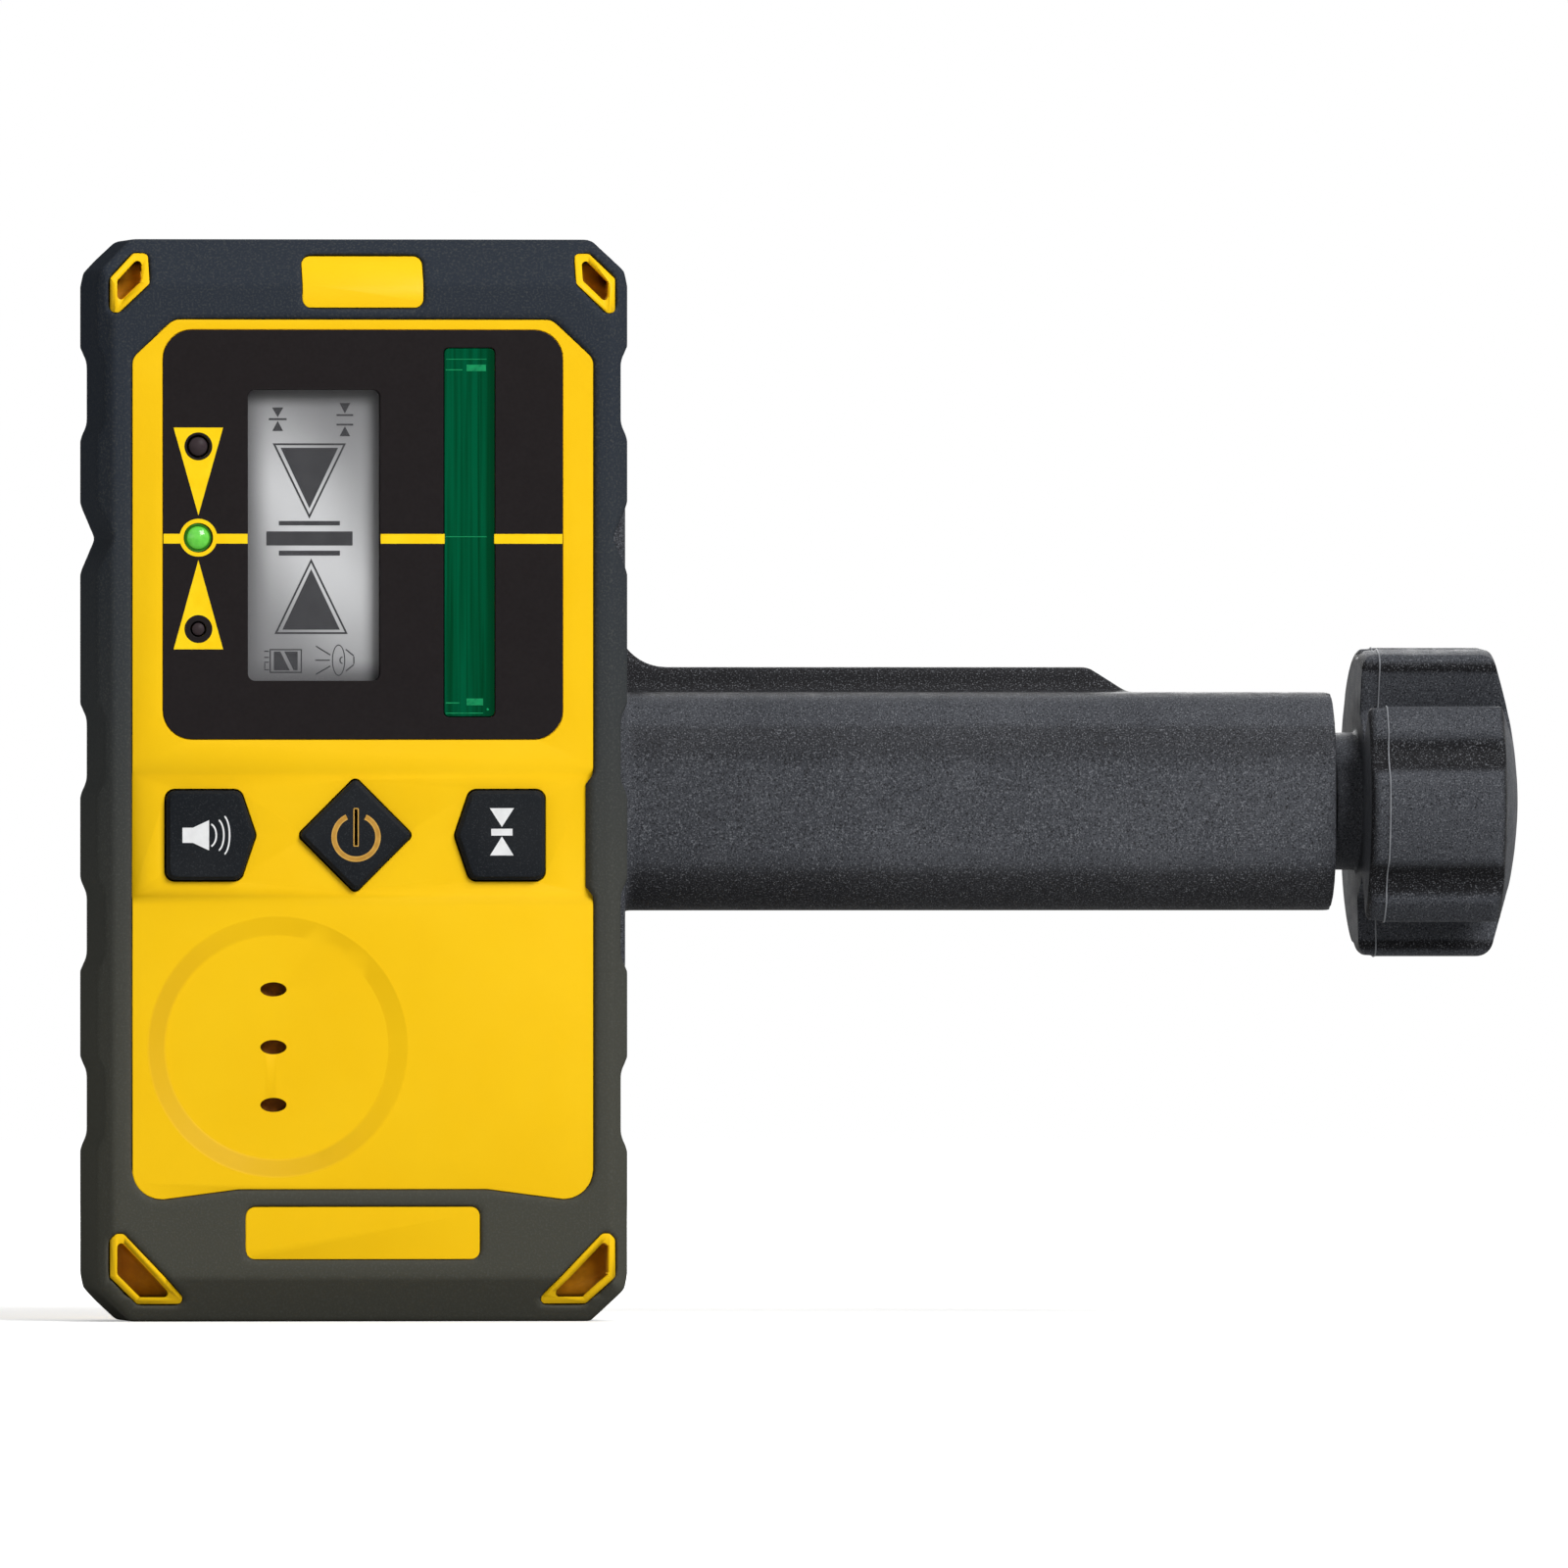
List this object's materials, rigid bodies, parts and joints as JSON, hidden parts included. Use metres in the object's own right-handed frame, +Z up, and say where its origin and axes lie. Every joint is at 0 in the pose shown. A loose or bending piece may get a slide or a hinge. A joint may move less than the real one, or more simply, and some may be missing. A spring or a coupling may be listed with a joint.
{
  "type": "laser receiver",
  "caption": "Handheld laser receiver in a rubber bumper, with display, sensor window, lights and keys, on a screw clamp with a lobed knob for a grade rod.",
  "frame": {"origin": "on the fixed jaw's gripping face, midway along its reach behind the arm, level with the receiver's on-grade line", "axes": "+X along the clamp's arm from the receiver to the knob, square to the gripping face; +Y from the display to the back; +Z up along the rod"},
  "size_m": [0.2026, 0.0775, 0.15],
  "materials": {
    "yellow_shell": "satin yellow ABS with a fine moulded texture",
    "bumper_rubber": "charcoal moulded rubber, finely grained",
    "label_film": "printed matt film",
    "clear_window": "clear scratch-resistant window",
    "lcd_panel": "grey reflective display",
    "zebra_rubber": "conductive elastomer",
    "green_filter": "dark green optical filter",
    "board_green": "solder-masked board",
    "grade_light": "green light pipe",
    "dark_light": "smoked light pipe",
    "component_black": "moulded black",
    "key_rubber": "black silicone",
    "seal_rubber": "black sealing rubber",
    "steel": "zinc-plated steel",
    "screw_steel": "turned steel",
    "brass": "machined brass",
    "cell_jacket": "bare steel cell can",
    "clamp_nylon": "satin glass-filled nylon, finely grained",
    "pad_rubber": "ribbed grip rubber"
  },
  "bodies": {
    "receiver": {"front_housing": "yellow_shell", "rear_housing": "yellow_shell", "bumper": "bumper_rubber", "display_label": "label_film", "lcd_lens": "clear_window", "lcd_module": "lcd_panel", "contact_strips": "zebra_rubber", "sensor_window": "green_filter", "main_board": "board_green", "sensor_board": "board_green", "light_pipe_grade": "grade_light", "light_pipe_high": "dark_light", "light_pipe_low": "dark_light", "board_parts": "component_black", "buzzer": "component_black", "battery_box": "component_black", "housing_seal": "seal_rubber", "door_gasket": "seal_rubber", "sound_membrane": "seal_rubber", "case_screws": "steel", "board_screws": "steel", "key_domes": "steel", "contact_springs": "steel", "contact_plates": "steel", "door_hinge_pin": "steel", "end_plate_screws": "steel", "thrust_washers": "steel", "thumbscrew_washer": "steel", "threaded_insert": "brass", "screw_bushing": "brass", "battery_upper": "cell_jacket", "battery_lower": "cell_jacket", "clamp_body": "clamp_nylon", "arm_end_plate": "clamp_nylon", "fixed_jaw_pad": "pad_rubber"},
    "volume_key": {"key_volume": "key_rubber"},
    "power_key": {"key_power": "key_rubber"},
    "accuracy_key": {"key_accuracy": "key_rubber"},
    "battery_cover": {"battery_door": "yellow_shell"},
    "clamp_screw": {"lead_screw": "screw_steel", "knob": "clamp_nylon", "knob_screw": "steel", "knob_cap": "clamp_nylon"},
    "sliding_jaw": {"moving_jaw": "clamp_nylon", "moving_jaw_pad": "pad_rubber", "jaw_nut": "brass"},
    "fixing_screw": {"thumbscrew": "clamp_nylon", "thumbscrew_stud": "steel"}
  },
  "joints": [
    {"name": "volume_press", "type": "slide", "parent": "receiver", "child": "volume_key", "axis": [0, 1, 0], "range_m": [0, 0.0008], "stiffness_N_per_m": 1500},
    {"name": "power_press", "type": "slide", "parent": "receiver", "child": "power_key", "axis": [0, 1, 0], "range_m": [0, 0.0008], "stiffness_N_per_m": 1500},
    {"name": "accuracy_press", "type": "slide", "parent": "receiver", "child": "accuracy_key", "axis": [0, 1, 0], "range_m": [0, 0.0008], "stiffness_N_per_m": 1500},
    {"name": "battery_door_hinge", "type": "hinge", "parent": "receiver", "child": "battery_cover", "pos_m": [-0.0415, -0.0389, -0.09975], "axis": [-1, 0, 0], "range_deg": [0, 95]},
    {"name": "knob_turn", "type": "hinge", "parent": "receiver", "child": "clamp_screw", "pos_m": [0, -0.0222, -0.0365], "axis": [1, 0, 0], "range_deg": [-1980, 2610]},
    {"name": "jaw_travel", "type": "slide", "parent": "receiver", "child": "sliding_jaw", "axis": [1, 0, 0], "range_m": [-0.0221, 0.0291]},
    {"name": "fixing_screw_turn", "type": "hinge", "parent": "receiver", "child": "fixing_screw", "pos_m": [-0.0415, -0.0301, -0.0365], "axis": [0, 1, 0], "continuous": true}
  ],
  "couplings": [
    {"joint": "jaw_travel", "follows": "knob_turn", "m_per_rad": 0.00063662}
  ]
}
